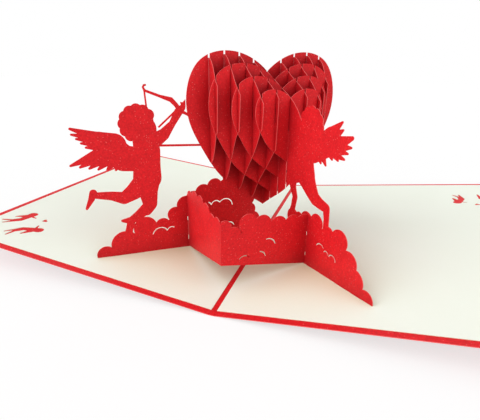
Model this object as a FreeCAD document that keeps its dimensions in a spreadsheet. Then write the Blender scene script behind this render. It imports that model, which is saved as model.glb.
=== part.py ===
import FreeCAD, Part, Sketcher
import math
import os

from FreeCAD import Placement, Rotation, Vector

# An opened pop-up greeting card, 15 x 20 cm when closed. Two die-cut sheets stand at 45 degrees to
# the spine and cross above it. Each carries a cloud and a winged archer, and together with more
# slotted slices they make a sliceform heart. A folded cloud wall hooks into both sheets in front.
# The origin is the middle of the spine's underside, X goes to the right panel, Y to the back edge.

DIMENSIONS = [
    ("panel_width", 150, "one panel of the card, from the score to the outer edge"),
    ("spine_length", 200, "card height, along the spine"),
    ("spine_flat", 2.4, "flat strip between the two scores"),
    ("panel_rise", 6.5, "degrees that each panel still lifts off the table"),
    ("cover_thickness", 0.4, "pearl card of the cover"),
    ("liner_thickness", 0.25, "cream paper glued on each panel"),
    ("liner_border", 3.4, "red border left round each liner"),
    ("spine_stripe", 2.9, "red stripe left bare between the liners"),
    ("card_thickness", 0.3, "card of the pop-up sheets and slices"),
    ("crossing_setback", 15.5, "where the sheets cross, in front of the spine's middle"),
    ("left_reach", 98.5, "outer end of the left cloud, from the crossing"),
    ("right_reach", 94, "outer end of the right cloud, from the crossing"),
    ("wall_left_reach", 48.4, "front wall's corner on the left sheet, from the crossing"),
    ("wall_right_reach", 45.3, "front wall's corner on the right sheet, from the crossing"),
    ("wall_lift", 10, "rise of the front wall's lower edge from corner to crease"),
    ("wall_clearance", 0.3, "gap under the front wall's corners"),
    ("hook_height", 10, "height of the front wall's hooks"),
    ("hook_reach", 2.4, "hook past the sheet that it goes through"),
    ("hook_level", 11, "underside of the hooks above the table"),
    ("hook_slit_play", 2, "hook slits past each end of their hooks"),
    ("tab_length", 18, "foot tabs that pass the liners"),
    ("fit_clearance", 0.15, "play each side of a tab or hook"),
    ("heart_width", 94, "central slice of the heart"),
    ("heart_top", 109.5, "top of the lobes above the table"),
    ("heart_tip", 22.7, "tip of the heart above the table"),
    ("heart_eye", 78.5, "height that the slices shrink towards"),
    ("heart_depth", 42, "distance at which the form shrinks to nothing"),
    ("cleft_depth", 10, "cleft between the lobes, below their top"),
    ("long_pitch", 8, "spacing of the slices along the left sheet"),
    ("cross_pitch", 8.5, "spacing of the slices across it"),
    ("slot_width", 1, "slots where slices cross"),
    ("nose_reach", 2.4, "end of a cross slice past its last slot"),
    ("notch_depth", 1.8, "tops of the cross slices below those of the long ones, in their slots"),
    ("slit_width", 0.6, "curved slits cut in the clouds"),
    ("motif_height", 20, "small cut figures in the liners"),
    ("left_motif_inset", 27.9, "left motif's heart, in from the outer edge"),
    ("left_motif_front", 32.6, "left motif's heart, back from the front edge"),
    ("right_motif_inset", 17, "right motif's heart, in from the outer edge"),
    ("right_motif_back", 47.5, "right motif's heart, forward from the back edge"),
]

LONG_SIDE_SLICES = 3
CROSS_SIDE_SLICES = 4

document = FreeCAD.newDocument("pop_up_card")
sheet = document.addObject("Spreadsheet::Sheet", "Dimensions")
for row, (alias, value, meaning) in enumerate(DIMENSIONS, start=1):
    sheet.set("A%d" % row, alias)
    sheet.set("B%d" % row, str(value))
    sheet.set("C%d" % row, meaning)
    sheet.setAlias("B%d" % row, alias)
document.recompute()


def size(alias):
    return float(getattr(sheet, alias))


rise = math.radians(size("panel_rise"))
half_flat = size("spine_flat") / 2
card = size("card_thickness")
bed_height = size("cover_thickness") + size("liner_thickness")


# Flat outlines are drawn in the XZ plane: X along the sheet, Z up.

def at(along, up):
    return Vector(along, 0, up)


def disc(along, up, radius):
    return Part.Face(Part.Wire(Part.makeCircle(radius, at(along, up), Vector(0, 1, 0))))


def polygon(points):
    corners = [at(along, up) for along, up in points]
    return Part.Face(Part.makePolygon(corners + corners[:1]))


def limb(start, end):
    """A tapered limb between two rounds, each given as (along, up, radius)."""
    x1, z1, r1 = start
    x2, z2, r2 = end
    length = math.hypot(x2 - x1, z2 - z1)
    if length <= abs(r1 - r2):
        return disc(*(start if r1 > r2 else end))
    heading = math.atan2(z2 - z1, x2 - x1)
    lean = math.acos((r1 - r2) / length)

    def rim(x, z, radius, angle):
        return at(x + radius * math.cos(angle), z + radius * math.sin(angle))

    start_arc = Part.Arc(rim(x1, z1, r1, heading + lean), rim(x1, z1, r1, heading + math.pi),
                         rim(x1, z1, r1, heading - lean)).toShape()
    end_arc = Part.Arc(rim(x2, z2, r2, heading - lean), rim(x2, z2, r2, heading),
                       rim(x2, z2, r2, heading + lean)).toShape()
    lower = Part.makeLine(rim(x1, z1, r1, heading - lean), rim(x2, z2, r2, heading - lean))
    upper = Part.makeLine(rim(x2, z2, r2, heading + lean), rim(x1, z1, r1, heading + lean))
    return Part.Face(Part.Wire(Part.__sortEdges__([start_arc, lower, end_arc, upper])))


def stroke(*rounds):
    return [limb(first, second) for first, second in zip(rounds, rounds[1:])]


def between(first, last, share):
    return tuple(a + (b - a) * share for a, b in zip(first, last))


def fan(roots, tips, count, root_radius, tip_radius, sag=0):
    """Feathers from a row of roots to a row of tips, with the middle tips let down by sag."""
    feathers = []
    for index in range(count):
        share = index / (count - 1)
        root = between(roots[0], roots[1], share)
        tip_along, tip_up = between(tips[0], tips[1], share)
        tip = (tip_along, tip_up - sag * math.sin(math.pi * share), tip_radius)
        feathers.append(limb((root[0], root[1], root_radius), tip))
    return feathers


def curls(centre, ring, radius, first, last, count):
    """Curls of hair set round a head between two angles in degrees."""
    rounds = []
    for index in range(count):
        angle = math.radians(first + (last - first) * index / (count - 1))
        rounds.append(disc(centre[0] + ring * math.cos(angle), centre[1] + ring * math.sin(angle), radius))
    return rounds


def merge(faces):
    """Join overlapping flat outlines into one, all facing the same way."""
    pieces = faces[0].multiFuse(faces[1:]).Faces if len(faces) > 1 else faces
    for piece in pieces:
        if piece.normalAt(0, 0).y > 0:
            piece.reverse()
    joined = Part.makeShell(pieces).removeSplitter().Faces
    return joined[0] if len(joined) == 1 else Part.makeCompound(joined)


def curved_slit(start, middle, end):
    """A narrow slit along the arc through three points."""
    curve = Part.Arc(at(*start), at(*middle), at(*end)).toShape().Curve
    half = size("slit_width") / 2

    def rim(offset):
        points = []
        for along, up in (start, middle, end):
            outward = (at(along, up) - curve.Center).normalize()
            points.append(curve.Center + outward * (curve.Radius + offset))
        return points

    outer, inner = rim(half), rim(-half)
    edges = [Part.Arc(*outer).toShape(), Part.makeLine(outer[2], inner[2]),
             Part.Arc(*inner).toShape(), Part.makeLine(inner[0], outer[0])]
    return Part.Face(Part.Wire(Part.__sortEdges__(edges)))


def thicken(face, offset=0.0, thickness=None):
    """Give a flat outline the card's thickness, centred at an offset along Y."""
    depth = card if thickness is None else thickness
    moved = face.copy()
    moved.translate(Vector(0, offset - depth / 2, 0))
    return moved.extrude(Vector(0, depth, 0))


# The left sheet's frame has X from the left cloud to the crossing and on to the back right. The
# right sheet's frame has X from the right cloud to the crossing and on to the back left.

crossing = Vector(0, -size("crossing_setback"), 0)
LEFT_SHEET_FRAME = Placement(crossing, Rotation(Vector(0, 0, 1), 45))
RIGHT_SHEET_FRAME = Placement(crossing, Rotation(Vector(0, 0, 1), 135))


def panel_height(along, height):
    """Height of a surface that lies at a given height on the card, above a point of a sheet."""
    outward = max(abs(along) * math.sqrt(0.5) - half_flat, 0)
    return height / math.cos(rise) + outward * math.tan(rise)


def bed(height, frame):
    """Everything below a surface of the opened card, in a sheet's own frame."""
    reach = size("panel_width")
    drop = 30
    profile = []
    for side in (-1, 1):
        lift = math.tan(rise) * reach
        outer = Vector(side * (half_flat + reach), 0, height / math.cos(rise) + lift)
        inner_x = side * (half_flat - height * math.tan(rise / 2))
        inner = Vector(inner_x, 0, height)
        profile += [outer, inner] if side < 0 else [inner, outer]
    profile += [Vector(half_flat + reach, 0, -drop), Vector(-half_flat - reach, 0, -drop)]
    solid = Part.Face(Part.makePolygon(profile + profile[:1])).extrude(Vector(0, 2 * reach, 0))
    solid.translate(Vector(0, -reach, 0))
    solid.transformShape(frame.inverse().toMatrix())
    return solid


# The heart's form: its central slice, shrunk evenly towards the eye as the slices leave the centre.

HEART_HALF = [(0.34, 0.13), (0.60, 0.25), (0.82, 0.43), (0.975, 0.62), (0.985, 0.78),
              (0.83, 0.945), (0.50, 1.0), (0.20, 0.96)]


def heart_scale(distance):
    return 1 - abs(distance) / size("heart_depth")


def heart_outline(scale):
    """A two-lobed slice, from its tip up one side to the cleft and down the other."""
    half_width = size("heart_width") / 2
    height = size("heart_top") - size("heart_tip")
    cleft = size("heart_top") - size("cleft_depth")

    def shrink(along, up):
        return at(along * scale, size("heart_eye") + (up - size("heart_eye")) * scale)

    sides = []
    for side in (-1, 1):
        points = [shrink(0, size("heart_tip"))]
        for across, up in HEART_HALF:
            points.append(shrink(side * across * half_width, size("heart_tip") + up * height))
        points.append(shrink(0, cleft))
        curve = Part.BSplineCurve()
        curve.interpolate(points)
        sides.append(curve.toShape())
    return Part.Face(Part.Wire(Part.__sortEdges__(sides)))


long_places = [index * size("long_pitch") for index in range(LONG_SIDE_SLICES + 1)]
cross_places = [index * size("cross_pitch") for index in range(CROSS_SIDE_SLICES + 1)]
long_outlines = [heart_outline(heart_scale(place)) for place in long_places]


def span(outline, along):
    """Lowest and highest point of an outline at a place along it."""
    reach = size("heart_top")
    line = Part.makeLine(at(along, -reach), at(along, 2 * reach))
    box = outline.common(line).BoundBox
    return box.ZMin, box.ZMax


def crossings(cross_index):
    """Places, spans and slot heights where one cross slice meets the long slices of one side."""
    edge_margin = 2.2 * size("slot_width")
    found = []
    for long_index, outline in enumerate(long_outlines):
        along = cross_places[cross_index]
        if along > outline.BoundBox.XMax - edge_margin:
            break
        low, high = span(outline, along)
        found.append((long_index, low, high, (low + high) / 2))
    return found


def edge_curve(points):
    curve = Part.BSplineCurve()
    curve.interpolate(points)
    return curve.toShape()


def nose(place, low, high, side):
    """The blunt end of a cross slice, from its top edge at its last slot down to its lower edge."""
    reach = size("nose_reach")
    return Part.makePolygon([at(side * place, high), at(side * (place + reach), high - reach),
                             at(side * (place + reach * 0.9), (low + high) / 2),
                             at(side * (place + reach * 0.6), low + reach * 0.6), at(side * place, low)])


def cross_outline(meetings):
    drop = size("notch_depth")
    order = [(-1, meeting) for meeting in meetings[:0:-1]] + [(1, meeting) for meeting in meetings]
    tops = [at(side * long_places[index], high - drop) for side, (index, low, high, middle) in order]
    lows = [at(side * long_places[index], low) for side, (index, low, high, middle) in order]
    last, last_low, last_high = meetings[-1][:3]
    ends = [nose(long_places[last], last_low, last_high - drop, side) for side in (-1, 1)]
    edges = [edge_curve(tops), edge_curve(lows)] + ends[0].Edges + ends[1].Edges
    return Part.Face(Part.Wire(Part.__sortEdges__(edges)))


def slot(along, low, high):
    half = size("slot_width") / 2
    return polygon([(along - half, low), (along + half, low), (along + half, high), (along - half, high)])


def top_slots(long_index):
    """Slots open at the top of a long slice, one for each cross slice that meets it."""
    slots = []
    over = size("heart_top") + 10
    for cross_index, along in enumerate(cross_places):
        for meeting in crossings(cross_index):
            if meeting[0] == long_index:
                slots += [slot(side * along, meeting[3], over) for side in ((-1, 1) if along else (1,))]
    return slots


def bottom_slots(cross_index):
    """Slots open at the bottom of a cross slice, one for each long slice that it meets."""
    slots = []
    for long_index, low, high, middle in crossings(cross_index):
        place = long_places[long_index]
        start = low - 1
        slots += [slot(side * place, start, middle) for side in ((-1, 1) if place else (1,))]
    return slots


# The clouds: rounds along a scalloped edge, over a body that reaches down past the card.

def cloud(bumps, inner_end, outer_end):
    rounds = [disc(*bump) for bump in bumps]
    crest = [(along, up) for along, up, radius in bumps]
    ground = -10
    body = polygon([(outer_end, ground)] + crest + [(inner_end, ground)])
    return rounds + [body]


LEFT_CLOUD = [(-94, 9.5, 4.6), (-83.8, 13.6, 7.2), (-72.5, 20.6, 6.3), (-63, 20.2, 4.3),
              (-55.8, 25.6, 4.3), (-49.5, 30.2, 5.2), (-45, 33, 4.6), (-39, 36, 4.7), (-32, 38.6, 4.6)]
INNER_CLOUD = [(-32, 38.6, 4.6), (-25, 43, 2), (-14, 35, 3), (-10.6, 28, 4.6), (-9.8, 20.6, 4.6),
               (-7.4, 14, 5.2), (-3.5, 7.5, 5)]
RIGHT_CLOUD = [(-89.3, 8.6, 4.4), (-81.4, 13.6, 5.8), (-76.5, 20.2, 5.7), (-69.5, 28, 5.5), (-61.5, 27.6, 4.4),
               (-52.5, 30.4, 4.7), (-44.5, 28.6, 5), (-38, 27.5, 3.6), (-32.5, 26, 5.2), (-28, 18, 4.2)]


# The archers: a traditional winged child with a bow, drawn as tapered limbs.

def head_and_hair(along, up):
    hair = curls((along, up), 6.6, 2.9, 35, 235, 8)
    return [disc(along, up, 7.9), disc(along + 2.6, up - 3, 6.4)] + hair


def left_archer():
    faces = head_and_hair(-71.8, 75.8)
    faces += stroke((-70.5, 68, 4.6), (-68.3, 62, 6.6), (-69, 54, 6.9), (-69.3, 48, 7.3))
    faces += stroke((-69.3, 47.4, 6.6), (-69.4, 41, 4.9), (-69, 33.8, 3.7), (-71, 30.6, 3))
    faces += stroke((-70, 32.4, 3.4), (-75, 28.8, 2.6), (-79.4, 26.2, 2.1), (-84, 26.8, 0.7))
    faces += stroke((-79.4, 26.2, 2.1), (-81.4, 20, 1.9))
    faces += stroke((-71.6, 45.4, 5.8), (-77, 41.6, 4.3), (-81.8, 39, 3.2), (-87.6, 41, 2.3), (-95.4, 42.4, 1.6))
    faces += stroke((-96.2, 43.8, 1.8), (-97.4, 40.8, 1.5), (-100.1, 36.2, 0.6))
    faces += stroke((-67, 65.4, 4.4), (-59.4, 69.6, 3), (-54.6, 74.8, 1.7), (-51.2, 80.2, 2.2), (-48.9, 82.4, 1.6))
    faces += stroke((-72, 58, 6), (-80, 59.5, 6.5), (-86, 65.5, 6.5), (-90.5, 68.6, 4.6))
    faces += stroke((-84, 66, 6), (-92, 71.2, 2.2), (-102.2, 75.2, 0.6))
    faces += fan([(-90.6, 70), (-89.6, 66)], [(-102, 72.6), (-96.6, 66.2)], 4, 2.3, 0.5)
    faces += fan([(-91.6, 62.4), (-76.6, 58.6)], [(-104.3, 58.3), (-76.4, 53.4)], 8, 3, 0.55, 1)
    return faces


def left_bow():
    faces = stroke((-66.7, 93.5, 0.45), (-67.4, 93.4, 0.45), (-67.9, 92.5, 0.45), (-67.2, 91, 0.6),
                   (-60, 88.2, 0.7), (-54.6, 86.4, 1.2), (-52.3, 84, 1.1), (-50.6, 81.6, 1.2))
    faces += stroke((-50, 80.8, 1), (-47.2, 79.4, 0.7), (-43.5, 77.2, 0.7))
    faces += stroke((-67.4, 91, 0.4), (-66.8, 80, 0.4))
    faces += stroke((-61.5, 73.6, 0.45), (-50.5, 82.6, 0.45))
    faces += [polygon([(-49.2, 82.4), (-50, 85.2), (-48.6, 85), (-47.2, 86.4), (-47.2, 82.6)])]
    faces += stroke((-62.5, 64.3, 0.55), (-38, 62.6, 0.55))
    return faces


def right_archer():
    faces = head_and_hair(-42.2, 76)
    faces += stroke((-41.4, 69, 4.8), (-38.4, 62, 7), (-39.4, 55, 7.8), (-41, 52, 7.2))
    faces += stroke((-35.4, 53, 6.2), (-30.8, 48, 3.2), (-30.6, 43.6, 2.7), (-33.2, 38, 2.1), (-32, 32, 1.9),
                    (-31, 27.6, 2.4))
    faces += stroke((-42, 50.5, 6.4), (-45.4, 46.4, 5), (-49.3, 42.4, 3.7), (-54, 41, 2.9), (-58.6, 40.2, 2.4),
                    (-59.4, 35, 1.9), (-59.6, 27, 1.8))
    faces += stroke((-37, 65.4, 4.4), (-31, 70, 3), (-25, 77, 1.9), (-22, 81, 1.9))
    faces += stroke((-46, 63.6, 4.4), (-53, 69, 6), (-57.6, 72, 6.2))
    faces += fan([(-57.4, 75.6), (-58.8, 74)], [(-63.4, 80.8), (-64.3, 77.6)], 2, 2.7, 0.5)
    faces += [limb((-60, 70.6, 3.8), (-70.2, 75.2, 0.9))]
    faces += fan([(-62, 70), (-58, 67)], [(-70.2, 71.2), (-66.8, 65.5)], 3, 2.6, 0.5)
    faces += fan([(-58.4, 67.6), (-56.6, 67.4)], [(-63, 64.2), (-59.1, 63.8)], 2, 2.5, 0.5)
    faces += fan([(-52, 64.6), (-47.6, 63.4)], [(-55.2, 60.2), (-48, 60.6)], 3, 2.4, 0.5)
    return faces


# Node objects

nodes = []


def add_node(label, shape, frame=None):
    node = document.addObject("Part::Feature", label)
    node.Shape = shape
    node.Label = label
    if frame is not None:
        node.Placement = frame
    nodes.append(node)
    return node


# Cover: one card sheet with a flat spine, sketched as a half section and mirrored.

def build_cover():
    body = document.addObject("PartDesign::Body", "cover")
    body.Label = "cover"
    section = body.newObject("Sketcher::SketchObject", "cover_section")
    plane = [feature for feature in body.Origin.OriginFeatures if feature.Role == "XZ_Plane"][0]
    section.AttachmentSupport = [(plane, "")]
    section.MapMode = "FlatFace"
    across = "Dimensions.spine_flat / 2"
    far_across = across + " + Dimensions.panel_width * cos(Dimensions.panel_rise * 1deg)"
    far_up = "Dimensions.panel_width * sin(Dimensions.panel_rise * 1deg)"
    thick = "Dimensions.cover_thickness"
    corners = [
        (None, None),
        (across, None),
        (far_across, far_up),
        (far_across + " - %s * sin(Dimensions.panel_rise * 1deg)" % thick,
         far_up + " + %s * cos(Dimensions.panel_rise * 1deg)" % thick),
        (across + " - %s * tan(Dimensions.panel_rise * 0.5deg)" % thick, thick),
        (None, thick),
    ]
    width = size("panel_width")
    rough = [(0, 0), (half_flat, 0), (half_flat + width, width * math.tan(rise)),
             (half_flat + width - 0.1, width * math.tan(rise) + 1), (half_flat - 0.1, 1), (0, 1)]
    for start, end in zip(rough, rough[1:] + rough[:1]):
        section.addGeometry(Part.LineSegment(Vector(*start, 0), Vector(*end, 0)), False)
    count = len(corners)
    for index in range(count):
        section.addConstraint(Sketcher.Constraint("Coincident", index, 2, (index + 1) % count, 1))
    for index, (x_rule, z_rule) in enumerate(corners):
        for kind, rule, value in (("DistanceX", x_rule, rough[index][0]), ("DistanceY", z_rule, rough[index][1])):
            if rule is None:
                fix = "PointOnObject"
                axis = -2 if kind == "DistanceX" else -1
                section.addConstraint(Sketcher.Constraint(fix, index, 1, axis))
            else:
                place = section.addConstraint(Sketcher.Constraint(kind, -1, 1, index, 1, value))
                section.setExpression("Constraints[%d]" % place, rule)
    pad = body.newObject("PartDesign::Pad", "half_cover")
    pad.Profile = section
    pad.SideType = "Symmetric"
    pad.setExpression("Length", "Dimensions.spine_length")
    document.recompute()
    mirror = body.newObject("PartDesign::Mirrored", "whole_cover")
    mirror.Originals = [pad]
    side = [feature for feature in body.Origin.OriginFeatures if feature.Role == "YZ_Plane"][0]
    mirror.MirrorPlane = (side, [""])
    body.Tip = mirror
    nodes.append(body)


# Liners: cream panels with slots for the sheets' foot tabs and a small cut motif.

def motif_cut():
    """Two small winged figures that face a heart, drawn flat about the heart's middle."""
    scale = size("motif_height") / 60
    figure_offset = size("motif_height") * 0.5
    figure_drop = size("motif_height") * 0.05
    heart_lift = size("motif_height") * 0.11
    heart_lobe = size("motif_height") * 0.045
    strokes = [
        [(-3, -6, 8), (11, -27, 5.4)],
        [(10, -27, 5.4), (8, -41, 3.2), (0, -54, 1.8)],
        [(13, -28, 4), (12, -55, 1.6)],
        [(-1, -17, 5.4), (-5, -33, 1.8)],
        [(0, -13, 3.2), (14, -4, 1.4)],
    ]
    tools = []
    for side in (-1, 1):
        figure = []
        for rounds in strokes:
            placed = [(side * (along * scale - figure_offset), up * scale - figure_drop, radius * scale)
                      for along, up, radius in rounds]
            figure += stroke(*placed)
        tools.append(merge(figure))
    lobes = [disc(side * heart_lobe * 0.9, heart_lift, heart_lobe) for side in (-1, 1)]
    point = polygon([(-heart_lobe * 1.75, heart_lift - heart_lobe * 0.5), (0, heart_lift - heart_lobe * 2.6),
                     (heart_lobe * 1.75, heart_lift - heart_lobe * 0.5), (0, heart_lift + heart_lobe * 0.4)])
    tools.append(merge(lobes + [point]))
    return tools


def build_liner(label, side, frame, reach, motif_middle, motif_turn):
    """A flat liner laid on its tilted panel, on the side given as -1 (left) or 1 (right)."""
    gap = (size("spine_stripe") - size("spine_flat")) / 2
    blank = document.addObject("Part::Box", label + "_blank")
    blank.setExpression("Length", "Dimensions.panel_width - Dimensions.liner_border"
                        " - (Dimensions.spine_stripe - Dimensions.spine_flat) / 2")
    blank.setExpression("Width", "Dimensions.spine_length - 2 * Dimensions.liner_border")
    blank.setExpression("Height", "Dimensions.liner_thickness")
    tilt = Rotation(Vector(0, 1, 0), -size("panel_rise"))
    lay = Placement(Vector(half_flat, 0, 0), tilt)
    lay = lay.multiply(Placement(Vector(gap, -size("spine_length") / 2 + size("liner_border"),
                                        size("cover_thickness")), Rotation()))
    if side < 0:
        half_turn = Placement(Vector(0, 0, 0), Rotation(Vector(0, 0, 1), 180))
        lay = half_turn.multiply(lay)
    blank.Placement = lay
    play = size("fit_clearance")
    cutters = []
    for start in tab_starts(reach):
        opening = polygon([(start - play, -20), (start + size("tab_length") + play, -20),
                           (start + size("tab_length") + play, 60), (start - play, 60)])
        cutter = thicken(opening, 0, card + 2 * play)
        cutter.transformShape(frame.toMatrix())
        cutters.append(cutter)
    for flat in motif_cut():
        tool = flat.extrude(Vector(0, 4, 0))
        tool.translate(Vector(0, -2, 0))
        tool.rotate(Vector(0, 0, 0), Vector(1, 0, 0), -90)
        tool.rotate(Vector(0, 0, 0), Vector(0, 0, 1), motif_turn)
        tool.translate(Vector(side * motif_middle[0], motif_middle[1], 0))
        tool.rotate(Vector(0, 0, 0), Vector(0, 1, 0), -side * size("panel_rise"))
        tool.translate(Vector(side * half_flat, 0, 0))
        cutters.append(tool)
    cut_tools = document.addObject("Part::Feature", label + "_cutouts")
    cut_tools.Shape = Part.makeCompound(cutters)
    liner = document.addObject("Part::Cut", label)
    liner.Base = blank
    liner.Tool = cut_tools
    liner.Label = label
    nodes.append(liner)


# Sheets: outline, foot tabs and slots, trimmed to the opened card.

def tab_starts(reach):
    """Starts of the two foot tabs of a sheet that reaches this far from the crossing."""
    inset = 6
    return [-reach + inset, -size("wall_left_reach") + inset]


def build_sheet(label, frame, heart, clouds, archer, cuts, reach):
    flats = [thicken(merge(outline).cut(cuts)) for outline in ([heart], clouds, archer)]
    body = flats[0].multiFuse(flats[1:]).cut(bed(bed_height, frame))
    for start in tab_starts(reach):
        tab = polygon([(start, -20), (start + size("tab_length"), -20),
                       (start + size("tab_length"), panel_height(start, bed_height) + 1),
                       (start, panel_height(start, bed_height) + 1)])
        body = body.fuse(thicken(tab).cut(bed(size("cover_thickness"), frame)))
    add_node(label, body, frame)


def hook_slit(wall_reach):
    """The upright slit that a hook of the front wall passes, at the wall's corner."""
    low = size("hook_level") - size("hook_slit_play")
    high = size("hook_level") + size("hook_height") + size("hook_slit_play")
    return slot(-wall_reach, low, high)


def build_left_sheet():
    clouds = cloud(LEFT_CLOUD, -31, -size("left_reach")) + cloud(INNER_CLOUD, -1.5, -33)
    cuts = top_slots(0) + [hook_slit(size("wall_left_reach"))]
    cuts += [curved_slit(*points) for points in (
        ((-68.8, 16), (-65.4, 19.2), (-60.8, 16.8)), ((-60.8, 16.8), (-59, 18.5), (-56.8, 18)),
        ((-36, 29.4), (-35, 28.9), (-34.2, 27.6)), ((-34.2, 27.6), (-31.6, 29.8), (-29, 28.4)),
        ((-29, 28.4), (-24.6, 30), (-20.9, 25.6)), ((-25.9, 13.3), (-23, 14.9), (-19.8, 12.4)))]
    build_sheet("left_cupid_sheet", LEFT_SHEET_FRAME, heart_outline(1), clouds, left_archer() + left_bow(),
                cuts, size("left_reach"))


def middle_cross_outline():
    """The central cross slice: tops in line with the clefts, and a fuller belly than its neighbours."""
    half_width = size("heart_width") / 2
    height = size("heart_top") - size("heart_tip")
    tip = at(0, size("heart_tip"))
    meetings = crossings(0)
    sides = []
    for side in (-1, 1):
        belly = [at(side * across * half_width, size("heart_tip") + up * height)
                 for across, up in HEART_HALF[:2]]
        last = long_places[-1]
        nose = [at(side * (last + 12), size("heart_eye") - 18), at(side * (last + 12.5), size("heart_eye") - 6)]
        tops = [at(side * long_places[index], high) for index, low, high, middle in meetings]
        curve = Part.BSplineCurve()
        curve.interpolate([tip] + belly + nose + tops[::-1])
        sides.append(curve.toShape())
    return Part.Face(Part.Wire(Part.__sortEdges__(sides)))


def build_right_sheet():
    heart = middle_cross_outline()
    cuts = [hook_slit(size("wall_right_reach"))]
    for long_index, low, high, middle in crossings(0):
        place = long_places[long_index]
        for side in ((-1, 1) if place else (1,)):
            belly_low = span(heart, side * place)[0]
            cuts.append(slot(side * place, belly_low - 1, middle))
    cuts += [curved_slit(*points) for points in (
        ((-54.1, 18.9), (-57, 20.8), (-59.4, 19.6)), ((-59.9, 17.8), (-61.9, 18.8), (-63.2, 17.4)),
        ((-63.7, 17.1), (-66.2, 18.8), (-68.5, 16.2)))]
    build_sheet("right_cupid_sheet", RIGHT_SHEET_FRAME, heart, cloud(RIGHT_CLOUD, -25, -size("right_reach")),
                right_archer(), cuts, size("right_reach"))


# Front cloud wall: a strip folded at its crease, in line with both sheets' directions.

WALL_LEFT_BUMPS = [(4.8, 34.6, 4.8), (12, 36.6, 4.8), (20, 37, 4.6), (27.6, 35.4, 4.8), (34.6, 32.6, 4.6),
                   (41, 33.2, 4.6)]
WALL_RIGHT_BUMPS = [(3, 28.4, 4.6), (9.4, 29.2, 4.6), (17.6, 29.8, 4.8), (26.6, 32, 4.8), (34.4, 33.8, 4.8),
                    (38.6, 28.4, 1), (42.2, 29.4, 4), (46.6, 34, 3.4)]
WALL_SLITS = [((24.4, 23.5), (21.6, 23.2), (19, 20)), ((38.8, 15.8), (36.4, 17.2), (33.4, 15.4)),
              ((27.8, 17.6), (25.8, 16.8), (24.4, 14.3))]


def wall_half(bumps, slits, reach, run, low_end):
    """One half of the wall, with X from its corner on a sheet, at reach, to the crease after run."""
    low_start = panel_height(reach, bed_height) + size("wall_clearance")
    crest = [(along, up) for along, up, radius in bumps]
    body = polygon([(0, low_start), (0, crest[0][1])] + crest
                   + [(run, crest[-1][1]), (run, low_end), (run - card / 2, low_end)])
    face = merge([body] + [disc(*bump) for bump in bumps])
    keep = polygon([(card / 2, 0), (run - card / 2, 0), (run - card / 2, 90), (card / 2, 90)])
    face = face.common(keep)
    if slits:
        face = face.cut([curved_slit(*points) for points in slits])
    level = size("hook_level")
    hook = polygon([(-size("hook_reach"), level + 1.5), (card, level), (card, level + size("hook_height")),
                    (-size("hook_reach"), level + size("hook_height") - 1.5)])
    return face.fuse(hook).removeSplitter(), crest[-1][1] + bumps[-1][2] * 0.7


def build_front_wall():
    left_reach = size("wall_left_reach")
    right_reach = size("wall_right_reach")
    low = panel_height(left_reach, bed_height) + size("wall_clearance") + size("wall_lift")
    solids = []
    tops = []
    for slits, bumps, frame, turn, reach, run in (
            ([], WALL_LEFT_BUMPS, LEFT_SHEET_FRAME, -90, left_reach, right_reach),
            (WALL_SLITS, WALL_RIGHT_BUMPS, RIGHT_SHEET_FRAME, 90, right_reach, left_reach)):
        face, top = wall_half(bumps, slits, reach, run, low)
        solid = thicken(face)
        half_frame = frame.multiply(Placement(Vector(-reach, 0, 0), Rotation(Vector(0, 0, 1), turn)))
        solid.transformShape(half_frame.toMatrix())
        solids.append(solid)
        tops.append(top)
    crease = Part.makeBox(card, card, min(tops) - low, Vector(-card / 2, -card / 2, low))
    crease.rotate(Vector(0, 0, 0), Vector(0, 0, 1), 45)
    crease.translate(crossing + Vector(right_reach - left_reach, -right_reach - left_reach, 0) * math.sqrt(0.5))
    wall = solids[0].multiFuse([solids[1], crease])
    add_node("front_cloud_wall", wall.removeSplitter())


def build_slices():
    for side, name in ((-1, "back"), (1, "front")):
        for index in range(1, LONG_SIDE_SLICES + 1):
            face = long_outlines[index].cut(top_slots(index))
            shape = thicken(face, -side * long_places[index])
            add_node("long_slice_%s_%d" % (name, index), shape, LEFT_SHEET_FRAME)
    for side, name in ((-1, "left"), (1, "right")):
        for index in range(1, CROSS_SIDE_SLICES + 1):
            face = cross_outline(crossings(index)).cut(bottom_slots(index))
            shape = thicken(face, -side * cross_places[index])
            add_node("cross_slice_%s_%d" % (name, index), shape, RIGHT_SHEET_FRAME)


build_cover()
build_liner("left_liner", -1, LEFT_SHEET_FRAME, size("left_reach"),
            (size("panel_width") - size("left_motif_inset"), size("left_motif_front") - size("spine_length") / 2), -38)
build_liner("right_liner", 1, RIGHT_SHEET_FRAME, size("right_reach"),
            (size("panel_width") - size("right_motif_inset"), size("spine_length") / 2 - size("right_motif_back")), 184)
build_left_sheet()
build_right_sheet()
build_front_wall()
build_slices()

document.recompute()
for item in document.Objects:
    if "Invalid" in item.State or "Error" in item.State:
        raise RuntimeError("object %s failed: %s" % (item.Name, item.State))
os.makedirs("parts", exist_ok=True)
for node in nodes:
    shape = node.Shape
    if shape.isNull() or not shape.isValid():
        raise RuntimeError("node %s has no valid shape" % node.Label)
    print(node.Label, len(shape.Solids), round(shape.Volume, 2))
    shape.exportStep("parts/%s.step" % node.Label)
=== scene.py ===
import math

import bmesh
import bpy
from mathutils import Matrix, Vector

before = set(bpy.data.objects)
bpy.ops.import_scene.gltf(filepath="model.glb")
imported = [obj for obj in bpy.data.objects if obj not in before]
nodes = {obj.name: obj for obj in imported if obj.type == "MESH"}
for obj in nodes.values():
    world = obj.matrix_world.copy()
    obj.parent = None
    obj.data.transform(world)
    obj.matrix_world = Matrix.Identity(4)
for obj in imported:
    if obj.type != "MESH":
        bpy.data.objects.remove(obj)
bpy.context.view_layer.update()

# The camera stands in front of the opened card, a little to the right and above it, and looks
# down along the spine. It leans half a degree, as a camera held by hand does.

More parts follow.
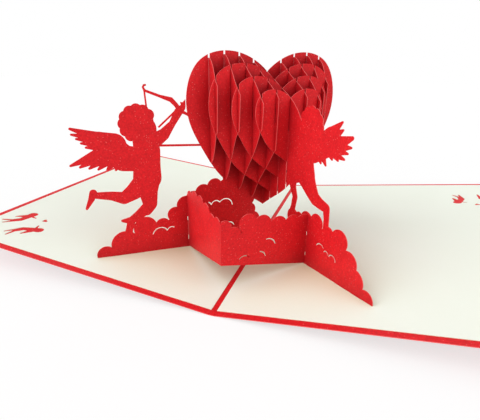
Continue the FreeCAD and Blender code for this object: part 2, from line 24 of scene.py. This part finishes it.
camera_place = Vector((0.0532, -0.2244, 0.1034))
camera_azimuth = math.radians(18.01)
camera_elevation = math.radians(21.55)
camera_roll = math.radians(0.57)
frame_width_px = 480
focal_length_px = 371.4

backwards = Vector((math.sin(camera_azimuth) * math.cos(camera_elevation),
                    -math.cos(camera_azimuth) * math.cos(camera_elevation),
                    math.sin(camera_elevation)))
level_right = Vector((math.cos(camera_azimuth), math.sin(camera_azimuth), 0))
level_up = backwards.cross(level_right)
camera_right = level_right * math.cos(camera_roll) + level_up * math.sin(camera_roll)
camera_up = level_up * math.cos(camera_roll) - level_right * math.sin(camera_roll)

camera_data = bpy.data.cameras.new("card_camera")
camera_data.sensor_width = 36
camera_data.sensor_fit = "HORIZONTAL"
camera_data.lens = camera_data.sensor_width * focal_length_px / frame_width_px
camera_data.clip_start = 0.01
camera = bpy.data.objects.new("card_camera", camera_data)
bpy.context.scene.collection.objects.link(camera)
turn = Matrix((camera_right, camera_up, backwards)).transposed().to_4x4()
camera.matrix_world = Matrix.Translation(camera_place) @ turn
bpy.context.scene.camera = camera

# The cover is one sheet of red pearl card, scored twice along the flat spine and folded there.
# Pearl card has a fine glitter coat over a fibrous sheet, and its scores are rubbed a little dull.
# Its colour is painted darker where other pieces stand close, a painted shade in the gaps between
# the heart's slices.

pearl_red = (0.88, 0.014, 0.020, 1)
pearl_red_deep = (0.50, 0.004, 0.008, 1)
glitter_pink = (0.92, 0.24, 0.22, 1)
cut_edge_painted_highlight = (0.84, 0.13, 0.125, 1)
gap_painted_shade = (0.30, 0.003, 0.008, 1)
mottle_per_metre = 160
card_fibre_per_metre = 1100
flakes_per_metre = 1250
flake_chance = 0.15
flake_radius = 0.27
flake_strength = 0.38
gap_reach = 0.014
gap_shade_strength = 0.75
face_least_dot = 0.65
spine_half = 0.0012
score_half_width = 0.0004


def node_of(tree, kind, place, **values):
    """A shader node of one kind, with its properties set."""
    made = tree.nodes.new(kind)
    made.location = place
    for name, value in values.items():
        setattr(made, name, value)
    return made


def pattern(tree, kind, place, where, **values):
    """A texture node on Object coordinates, with its inputs set."""
    made = node_of(tree, kind, place)
    tree.links.new(where.outputs["Object"], made.inputs["Vector"])
    for name, value in values.items():
        made.inputs[name].default_value = value
    return made


def maths(tree, place, operation, *values):
    """A Math node with an operation, whose inputs are numbers or sockets."""
    made = node_of(tree, "ShaderNodeMath", place, operation=operation)
    for index, value in enumerate(values):
        if isinstance(value, (int, float)):
            made.inputs[index].default_value = value
        else:
            tree.links.new(value, made.inputs[index])
    return made.outputs[0]


def graded(tree, place, value, span, levels, **values):
    """A Map Range node: levels[0] where the value is span[0], and levels[1] where it is span[1]."""
    made = node_of(tree, "ShaderNodeMapRange", place, **values)
    names = ("From Min", "From Max", "To Min", "To Max")
    for name, level in zip(names, (*span, *levels)):
        made.inputs[name].default_value = level
    tree.links.new(value, made.inputs["Value"])
    return made.outputs[0]


def colour_mix(tree, place, share, first, second):
    """A colour Mix node; the share and both colours are values or sockets."""
    made = node_of(tree, "ShaderNodeMix", place, data_type="RGBA")
    for index, value in ((0, share), (6, first), (7, second)):
        if isinstance(value, (int, float, tuple)):
            made.inputs[index].default_value = value
        else:
            tree.links.new(value, made.inputs[index])
    return made.outputs[2]


def painted_shade_amount(tree, place, reach, open_share):
    """How much painted shade a place gets: 0 where at least open_share of the view is open within
    reach, rising to 1 deep in a gap.
    """
    shelter = node_of(tree, "ShaderNodeAmbientOcclusion", place, samples=8)
    shelter.inputs["Distance"].default_value = reach
    return graded(tree, (place[0] + 200, place[1]), shelter.outputs["AO"],
                  (open_share, 0.2), (0, 1))


def grained(tree, shader, height, strength, depth):
    """Raise the surface by a height pattern, as a Bump node does."""
    grain = node_of(tree, "ShaderNodeBump", (-220, -320))
    grain.inputs["Strength"].default_value = strength
    grain.inputs["Distance"].default_value = depth
    tree.links.new(height, grain.inputs["Height"])
    tree.links.new(grain.outputs[0], shader.inputs["Normal"])


def pearl_card(name, face_normals, fold_lines=()):
    """Red pearl card. Faces turned away from all its face normals are its cut edges, which are
    painted paler pink as a painted highlight.

    Each fold line is (axis, place, half width) in metres, across which the card is folded.
    """
    material = bpy.data.materials.new(name)
    material.use_nodes = True
    tree = material.node_tree
    shader = tree.nodes["Principled BSDF"]
    shader.inputs["Specular IOR Level"].default_value = 0.2
    shader.inputs["Sheen Weight"].default_value = 0.04
    shader.inputs["Sheen Roughness"].default_value = 0.35
    where = node_of(tree, "ShaderNodeTexCoord", (-1500, 0))
    mottle = pattern(tree, "ShaderNodeTexNoise", (-1250, 300), where,
                     Scale=mottle_per_metre, Detail=4, Roughness=0.6)
    fibre = pattern(tree, "ShaderNodeTexNoise", (-1250, 80), where,
                    Scale=card_fibre_per_metre, Detail=4, Roughness=0.65)
    flakes = pattern(tree, "ShaderNodeTexVoronoi", (-1250, -200), where, Scale=flakes_per_metre)

    uneven = maths(tree, (-1000, 250), "MULTIPLY_ADD", mottle.outputs["Fac"], 0.6, -0.6)
    fine = maths(tree, (-1000, 80), "MULTIPLY", fibre.outputs["Fac"], 1.6)
    share = maths(tree, (-820, 180), "ADD", uneven, fine)
    sheet = colour_mix(tree, (-620, 200), share, pearl_red, pearl_red_deep)

    chance = node_of(tree, "ShaderNodeSeparateColor", (-1000, -240))
    tree.links.new(flakes.outputs["Color"], chance.inputs[0])
    picked = maths(tree, (-820, -240), "GREATER_THAN", chance.outputs[0], 1 - flake_chance)
    near = maths(tree, (-820, -80), "LESS_THAN", flakes.outputs["Distance"], flake_radius)
    flake = maths(tree, (-640, -160), "MULTIPLY", picked, near)
    flake_share = maths(tree, (-460, -160), "MULTIPLY", flake, flake_strength)
    sparkling = colour_mix(tree, (-420, 160), flake_share, sheet, glitter_pink)

    # Painted shade: the red is mixed towards a dark crimson where other pieces stand close.
    gap = painted_shade_amount(tree, (-820, 480), gap_reach, 0.92)
    gap_shade_share = maths(tree, (-420, 360), "MULTIPLY", gap, gap_shade_strength)
    face = colour_mix(tree, (-220, 300), gap_shade_share, sparkling, gap_painted_shade)

    turned = 0.0
    for face_normal in face_normals:
        facing = node_of(tree, "ShaderNodeVectorMath", (-1250, -520), operation="DOT_PRODUCT")
        tree.links.new(where.outputs["Normal"], facing.inputs[0])
        facing.inputs[1].default_value = face_normal
        level = maths(tree, (-1000, -520), "ABSOLUTE", facing.outputs["Value"])
        turned = maths(tree, (-900, -520), "MAXIMUM", level, turned)
    # Painted highlight: the cut edges are painted a paler pink, as if they caught the light.
    edge = maths(tree, (-820, -520), "LESS_THAN", turned, face_least_dot)
    colour = colour_mix(tree, (-220, 120), edge, face, cut_edge_painted_highlight)

    height = maths(tree, (-640, -380), "MULTIPLY", fibre.outputs["Fac"], 0.5)
    if fold_lines:
        split = node_of(tree, "ShaderNodeSeparateXYZ", (-1250, -760))
        tree.links.new(where.outputs["Object"], split.inputs[0])
    for index, (axis, place, half_width) in enumerate(fold_lines):
        row = -760 - 160 * index
        offset = maths(tree, (-1000, row), "SUBTRACT", split.outputs[axis], place)
        away = maths(tree, (-820, row), "ABSOLUTE", offset)
        folded = graded(tree, (-640, row), away, (0, half_width), (1, 0))
        height = maths(tree, (-440, row + 200), "SUBTRACT", height, folded)
        dull = maths(tree, (-440, row), "MULTIPLY", folded, 0.35)
        colour = colour_mix(tree, (-40, row + 820), dull, colour, pearl_red_deep)
    tree.links.new(colour, shader.inputs["Base Color"])
    grained(tree, shader, height, 0.35, 0.0001)

    matt = graded(tree, (-420, -60), fibre.outputs["Fac"], (0, 1), (0.62, 0.46))
    glint = maths(tree, (-220, -80), "MULTIPLY_ADD", flake, -0.2, matt)
    tree.links.new(glint, shader.inputs["Roughness"])
    return material


def finish_node(name, material):
    """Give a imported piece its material."""
    nodes[name].material_slots[0].material = material


spine_scores = ((0, spine_half, score_half_width), (0, -spine_half, score_half_width))
finish_node("cover", pearl_card("pearl_card_cover", [(0, 0, 1)], spine_scores))

# The liners are smooth cream paper glued on both panels, inside the red border. Behind them the
# sheets' foot tabs are glued down, which shows as a faint raised patch beside each slot. Near the
# feet of the standing pieces the cream is painted a darker, yellower shade.

cream = (0.90, 0.945, 0.86, 1)
cream_warm = (0.86, 0.90, 0.785, 1)
cream_painted_shade = (0.74, 0.80, 0.52, 1)
clouds_per_metre = 22
paper_fibre_per_metre = 700
foot_reach = 0.05
crossing = Vector((0, -0.0155, 0))
tab_length = 0.018
tab_depth = 0.007
tab_rim = 0.0006


def cream_paper(name, sheet_turn, tab_starts, glued_side):
    """Cream paper, pressed up by each glued tab of a sheet that stands at sheet_turn degrees."""
    material = bpy.data.materials.new(name)
    material.use_nodes = True
    tree = material.node_tree
    shader = tree.nodes["Principled BSDF"]
    shader.inputs["Specular IOR Level"].default_value = 0.25
    where = node_of(tree, "ShaderNodeTexCoord", (-1500, 0))
    cloudy = pattern(tree, "ShaderNodeTexNoise", (-1250, 300), where,
                     Scale=clouds_per_metre, Detail=2)
    fibre = pattern(tree, "ShaderNodeTexNoise", (-1250, 60), where,
                    Scale=paper_fibre_per_metre, Detail=5, Roughness=0.7)
    wide = maths(tree, (-1000, 300), "MULTIPLY", cloudy.outputs["Fac"], 0.6)
    fine = maths(tree, (-1000, 100), "MULTIPLY", fibre.outputs["Fac"], 0.35)
    share = maths(tree, (-820, 200), "ADD", wide, fine)
    paper = colour_mix(tree, (-620, 200), share, cream, cream_warm)
    # Painted shade: the cream turns darker and yellower where standing pieces close in on it.
    shade = painted_shade_amount(tree, (-820, 480), foot_reach, 0.97)
    paper = colour_mix(tree, (-420, 200), shade, paper, cream_painted_shade)
    tree.links.new(paper, shader.inputs["Base Color"])

    along_sheet = node_of(tree, "ShaderNodeMapping", (-1250, -300), vector_type="TEXTURE")
    along_sheet.inputs["Location"].default_value = crossing
    along_sheet.inputs["Rotation"].default_value = (0, 0, math.radians(sheet_turn))
    tree.links.new(where.outputs["Object"], along_sheet.inputs["Vector"])
    split = node_of(tree, "ShaderNodeSeparateXYZ", (-1050, -300))
    tree.links.new(along_sheet.outputs[0], split.inputs[0])
    height = maths(tree, (-820, -60), "MULTIPLY", fibre.outputs["Fac"], 0.12)
    across = maths(tree, (-860, -480), "SUBTRACT", split.outputs[1], glued_side * tab_depth / 2)
    across_away = maths(tree, (-700, -480), "ABSOLUTE", across)
    for index, start in enumerate(tab_starts):
        row = -560 - 200 * index
        along = maths(tree, (-860, row - 80), "SUBTRACT", split.outputs[0], start + tab_length / 2)
        along_away = maths(tree, (-700, row - 80), "ABSOLUTE", along)
        reaches = [graded(tree, (-520, row), away, (half - tab_rim, half + tab_rim), (1, 0),
                          interpolation_type="SMOOTHSTEP")
                   for away, half in ((across_away, tab_depth / 2), (along_away, tab_length / 2))]
        patch = maths(tree, (-340, row), "MULTIPLY", *reaches)
        height = maths(tree, (-180, row + 160), "ADD", height, patch)
    grained(tree, shader, height, 0.5, 0.00015)
    matt = graded(tree, (-420, 20), fibre.outputs["Fac"], (0, 1), (0.72, 0.84))
    tree.links.new(matt, shader.inputs["Roughness"])
    return material


finish_node("left_liner", cream_paper("cream_liner_left", 45, (-0.0925, -0.0424), 1))
finish_node("right_liner", cream_paper("cream_liner_right", 135, (-0.088, -0.0424), -1))

# The left pop-up sheet is laser-cut from thinner pearl card: the archer with a bow, the cloud
# and the heart's central slice in one piece. It stands at 45 degrees to the spine.

left_sheet_normal = (-math.sqrt(0.5), math.sqrt(0.5), 0)
left_sheet_card = pearl_card("pearl_card_left_sheet", [left_sheet_normal])
finish_node("left_cupid_sheet", left_sheet_card)

# The right pop-up sheet is cut from the same card and stands across the left one. It carries the
# second archer, who stands before the heart, and the heart's slice the other way.

right_sheet_normal = (math.sqrt(0.5), math.sqrt(0.5), 0)
right_sheet_card = pearl_card("pearl_card_right_sheet", [right_sheet_normal])
finish_node("right_cupid_sheet", right_sheet_card)

# The cloud wall in front is a strip of the same card, folded once in the middle. Its hooked ends
# pass slits in both sheets and pull it upright as the card opens.

wall_card = pearl_card("pearl_card_wall", [left_sheet_normal, right_sheet_normal])
finish_node("front_cloud_wall", wall_card)

# The heart's other slices are slotted half through and pushed together like an egg crate. Long
# slices run along the left sheet, cross slices along the right one.

for name in nodes:
    if name.startswith("long_slice"):
        finish_node(name, left_sheet_card)
    elif name.startswith("cross_slice"):
        finish_node(name, right_sheet_card)

# The card lies on a white table that runs out of sight. The table keeps soft shadows, and the
# camera sees it lifted towards white.

table_half = 2.5
table_white = (0.97, 0.97, 0.97, 1)
table_lift = 0.68


def seen_rays(tree):
    """1 where the camera sees the place, straight on or by way of gloss or glass, and else 0."""
    ray = node_of(tree, "ShaderNodeLightPath", (-500, 300))
    mirrored = maths(tree, (-320, 300), "MAXIMUM",
                     ray.outputs["Is Glossy Ray"], ray.outputs["Is Transmission Ray"])
    return maths(tree, (-160, 300), "MAXIMUM", mirrored, ray.outputs["Is Camera Ray"])


def shader_mix(tree, share, first, second, output_name):
    """Mix two shaders by a share and pass them to the tree's output."""
    mixed = node_of(tree, "ShaderNodeMixShader", (250, 100))
    tree.links.new(share, mixed.inputs[0])
    tree.links.new(first.outputs[0], mixed.inputs[1])
    tree.links.new(second.outputs[0], mixed.inputs[2])
    tree.links.new(mixed.outputs[0], tree.nodes[output_name].inputs["Surface"])


table_form = bmesh.new()
bmesh.ops.create_grid(table_form, x_segments=1, y_segments=1, size=table_half)
table_mesh = bpy.data.meshes.new("white_table")
table_form.to_mesh(table_mesh)
table_form.free()
white_table = bpy.data.objects.new("white_table", table_mesh)
bpy.context.scene.collection.objects.link(white_table)
table_finish = bpy.data.materials.new("white_table")
table_finish.use_nodes = True
tree = table_finish.node_tree
table_surface = tree.nodes["Principled BSDF"]
table_surface.inputs["Base Color"].default_value = table_white
table_surface.inputs["Roughness"].default_value = 0.9
table_surface.inputs["Specular IOR Level"].default_value = 0.1
lifted = node_of(tree, "ShaderNodeEmission", (0, -200))
camera_share = maths(tree, (0, 300), "MULTIPLY", seen_rays(tree), table_lift)
shader_mix(tree, camera_share, table_surface, lifted, "Material Output")
table_mesh.materials.append(table_finish)

# Wide soft light comes from the front left, with a weaker one from the right and one overhead.
# The room around is white, and the camera sees it pure white.

room_strength = 0.42

room = bpy.data.worlds.new("white_room")
bpy.context.scene.world = room
room.use_nodes = True
tree = room.node_tree
room_light = tree.nodes["Background"]
room_light.inputs["Color"].default_value = (1, 1, 1, 1)
room_light.inputs["Strength"].default_value = room_strength
seen_white = node_of(tree, "ShaderNodeBackground", (0, -200))
seen_white.inputs["Color"].default_value = (1, 1, 1, 1)
seen_white.inputs["Strength"].default_value = 1
shader_mix(tree, seen_rays(tree), room_light, seen_white, "World Output")


def broad_light(name, towards, width, strength):
    """Even light from one side of the room, as a wide lamp with a diffuser gives."""
    data = bpy.data.lights.new(name, "SUN")
    data.angle = math.radians(width)
    data.energy = strength
    lamp = bpy.data.objects.new(name, data)
    bpy.context.scene.collection.objects.link(lamp)
    lamp.matrix_world = Vector(towards).to_track_quat("Z", "Y").to_matrix().to_4x4()


broad_light("front_left_softbox", (-0.6, -0.65, 0.66), 80, 2.0)
broad_light("right_softbox", (1, -0.2, 0.5), 60, 0.75)
broad_light("overhead_softbox", (0.15, 0.2, 1), 100, 0.42)

bpy.context.scene.view_settings.view_transform = "Standard"
